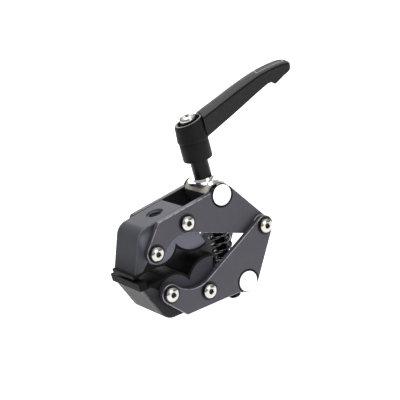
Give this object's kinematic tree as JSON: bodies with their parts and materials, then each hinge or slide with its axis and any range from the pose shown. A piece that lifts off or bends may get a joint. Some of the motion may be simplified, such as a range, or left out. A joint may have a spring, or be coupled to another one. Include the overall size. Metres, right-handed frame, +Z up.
{
  "type": "super clamp",
  "caption": "Lever-operated super clamp: two plated arms on a rear pivot, lobed rubber-lined jaws, cross-barrel screw drive, indexable lever and threaded accessory hole.",
  "frame": {"origin": "centre of the grip: on the mid-plane between the arms, where the four jaw lobes meet", "axes": "+Z up along the closed spindle, +Y across the clamp's width, jaws open towards -X"},
  "size_m": [0.1382, 0.0472, 0.1354],
  "materials": {
    "anodised_block": "satin grey anodised, faint blast texture",
    "anodised_plate": "dark grey anodised with bright chamfers",
    "jaw_rubber": "matt black moulded rubber",
    "stainless_steel": "polished stainless",
    "turned_steel": "turned steel",
    "slide_polymer": "off-white sliding polymer",
    "bright_chrome": "bright chrome plate",
    "spring_steel": "black oxide spring wire, oiled",
    "black_oxide_steel": "black oxide, satin",
    "textured_black_cast": "black fine-texture powder coat on die cast zinc"
  },
  "bodies": {
    "lower_arm": {"lower_jaw_block": "anodised_block", "lower_jaw_pad": "jaw_rubber", "lower_near_plate": "anodised_plate", "lower_far_plate": "anodised_plate", "lower_arm_screws": "stainless_steel", "pivot_shaft": "turned_steel", "pivot_screws": "stainless_steel", "pivot_thrust_washers": "slide_polymer"},
    "upper_arm": {"upper_jaw_block": "anodised_block", "upper_jaw_pad": "jaw_rubber", "upper_near_plate": "anodised_plate", "upper_far_plate": "anodised_plate", "upper_arm_screws": "stainless_steel", "pivot_spacer": "turned_steel"},
    "upper_barrel": {"upper_barrel": "bright_chrome", "flat_washer": "bright_chrome", "upper_spring_seat": "turned_steel", "jaw_spring": "spring_steel"},
    "spring_foot": {"lower_spring_seat": "turned_steel"},
    "spindle": {"spindle": "black_oxide_steel", "collar_washer": "bright_chrome", "lever_insert": "black_oxide_steel", "lever_screw": "stainless_steel", "lever_spring": "spring_steel"},
    "lever_lift_washer": {"lever_spring_washer": "turned_steel"},
    "lever": {"lever_handle": "textured_black_cast"},
    "lower_barrel": {"lower_barrel": "bright_chrome"}
  },
  "joints": [
    {"name": "jaw_pivot", "type": "hinge", "parent": "lower_arm", "child": "upper_arm", "pos_m": [0.058, 0, 0], "axis": [0, 1, 0], "range_deg": [0, 30]},
    {"name": "upper_barrel_tilt", "type": "hinge", "parent": "upper_arm", "child": "upper_barrel", "pos_m": [0.0366, 0, 0.0284], "axis": [0, 1, 0], "range_deg": [-15, 0]},
    {"name": "lower_barrel_tilt", "type": "hinge", "parent": "lower_arm", "child": "lower_barrel", "pos_m": [0.0366, 0, -0.0284], "axis": [0, 1, 0], "range_deg": [0, 15]},
    {"name": "spring_stretch", "type": "slide", "parent": "upper_barrel", "child": "spring_foot", "axis": [0, 0, -1], "range_m": [0, 0.00915], "deforming": ["jaw_spring"]},
    {"name": "spindle_spin", "type": "hinge", "parent": "upper_barrel", "child": "spindle", "pos_m": [0.0366, 0, 0], "axis": [0, 0, 1], "range_deg": [0, 2632.9]},
    {"name": "lever_lift", "type": "slide", "parent": "spindle", "child": "lever_lift_washer", "axis": [0, 0, 1], "range_m": [0, 0.0045], "stiffness_N_per_m": 400, "springref_m": -0.004, "deforming": ["lever_spring"]},
    {"name": "lever_index", "type": "hinge", "parent": "lever_lift_washer", "child": "lever", "pos_m": [0.0366, 0, 0.06], "axis": [0, 0, 1], "continuous": true}
  ],
  "couplings": [
    {"joint": "jaw_pivot", "follows": "spindle_spin", "ratio": 0.011394},
    {"joint": "upper_barrel_tilt", "follows": "spindle_spin", "ratio": -0.0056971},
    {"joint": "lower_barrel_tilt", "follows": "spindle_spin", "ratio": 0.0056971},
    {"joint": "spring_stretch", "follows": "spindle_spin", "m_per_rad": 0.00019894}
  ]
}
